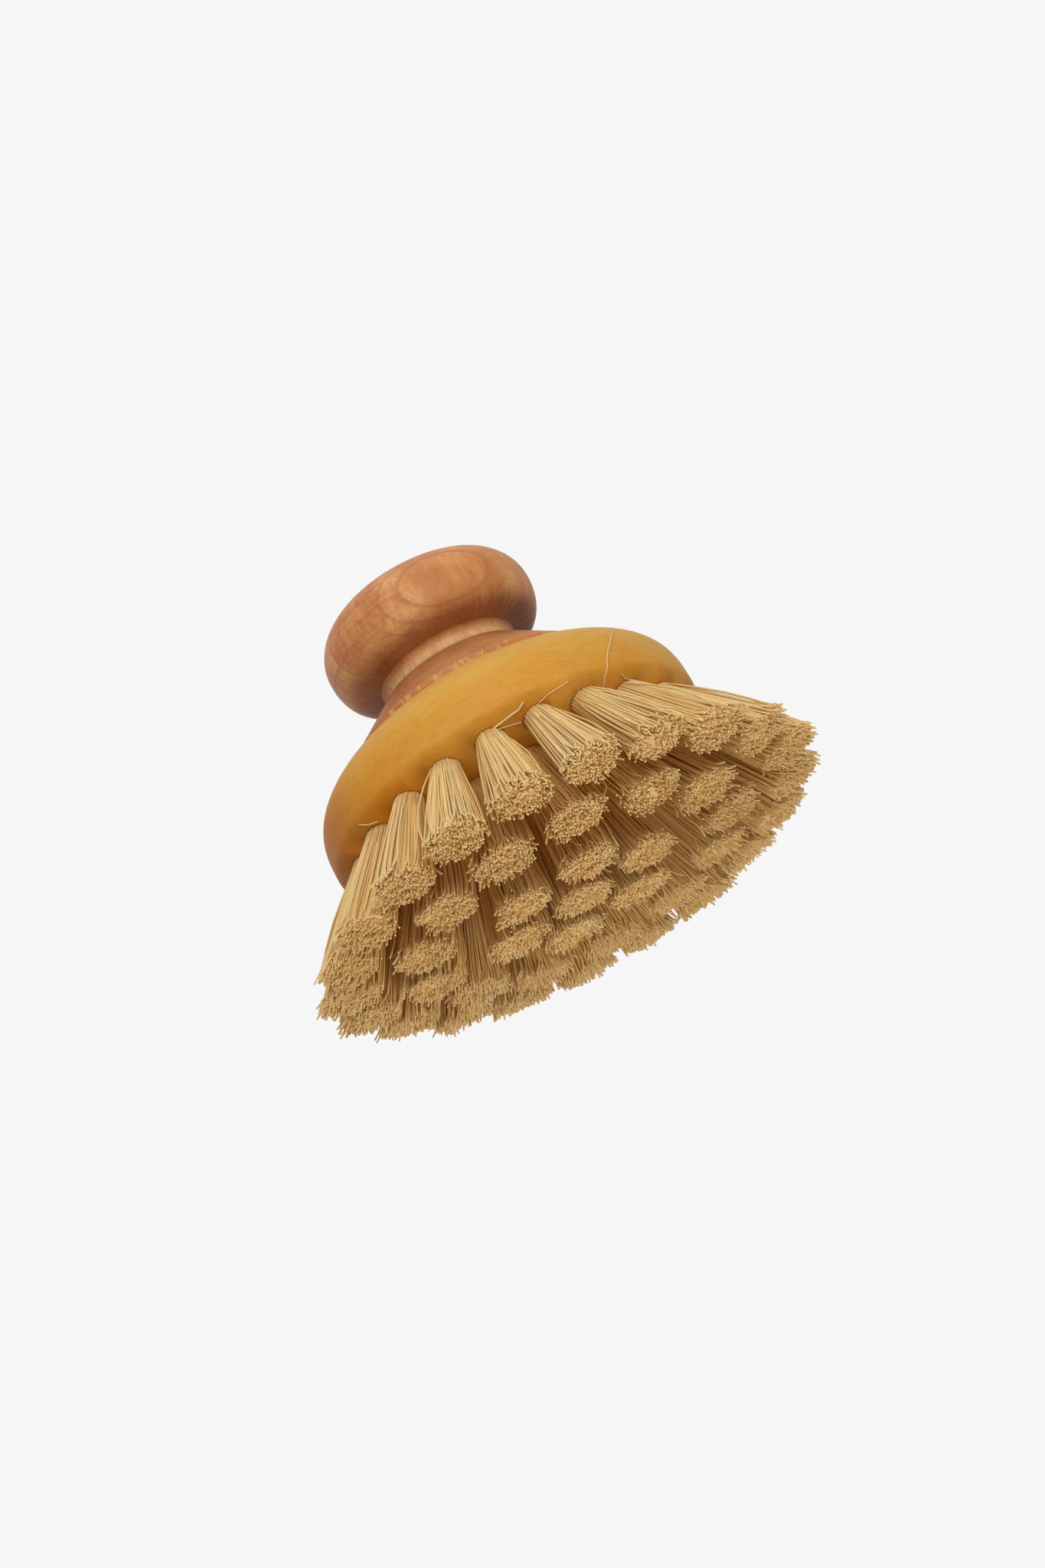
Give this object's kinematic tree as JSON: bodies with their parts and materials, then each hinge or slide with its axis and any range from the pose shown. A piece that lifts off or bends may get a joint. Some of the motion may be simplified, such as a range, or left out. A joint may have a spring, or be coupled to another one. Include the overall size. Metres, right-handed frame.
{
  "type": "pot brush",
  "caption": "Round wooden pot brush with a turned knob handle and 41 splayed tufts of stiff plant fibre.",
  "frame": {"origin": "middle of the flat at the bottom of the shallow dome that the bristle tips are cut to, on the brush's axis", "axes": "+Z along the axis from the bristle tips up to the knob, the brush standing on its bristles"},
  "size_m": [0.0914, 0.0912, 0.0641],
  "materials": {
    "yellow_wood": "waxed satin",
    "red_wood": "oiled satin",
    "fibre": "dry matt plant fibre",
    "wire": "drawn bright"
  },
  "bodies": {
    "root": {"head_block": "yellow_wood", "knob_handle": "red_wood", "drawing_wire": "wire", "tuft_centre": "fibre", "tuft_outer_01": "fibre", "tuft_outer_02": "fibre", "tuft_outer_03": "fibre", "tuft_outer_04": "fibre", "tuft_outer_05": "fibre", "tuft_outer_06": "fibre", "tuft_outer_07": "fibre", "tuft_outer_08": "fibre", "tuft_outer_09": "fibre", "tuft_outer_10": "fibre", "tuft_outer_11": "fibre", "tuft_outer_12": "fibre", "tuft_outer_13": "fibre", "tuft_outer_14": "fibre", "tuft_outer_15": "fibre", "tuft_outer_16": "fibre", "tuft_outer_17": "fibre", "tuft_outer_18": "fibre", "tuft_outer_19": "fibre", "tuft_outer_20": "fibre", "tuft_outer_21": "fibre", "tuft_middle_01": "fibre", "tuft_middle_02": "fibre", "tuft_middle_03": "fibre", "tuft_middle_04": "fibre", "tuft_middle_05": "fibre", "tuft_middle_06": "fibre", "tuft_middle_07": "fibre", "tuft_middle_08": "fibre", "tuft_middle_09": "fibre", "tuft_middle_10": "fibre", "tuft_middle_11": "fibre", "tuft_middle_12": "fibre", "tuft_middle_13": "fibre", "tuft_inner_01": "fibre", "tuft_inner_02": "fibre", "tuft_inner_03": "fibre", "tuft_inner_04": "fibre", "tuft_inner_05": "fibre", "tuft_inner_06": "fibre"}
  },
  "joints": []
}
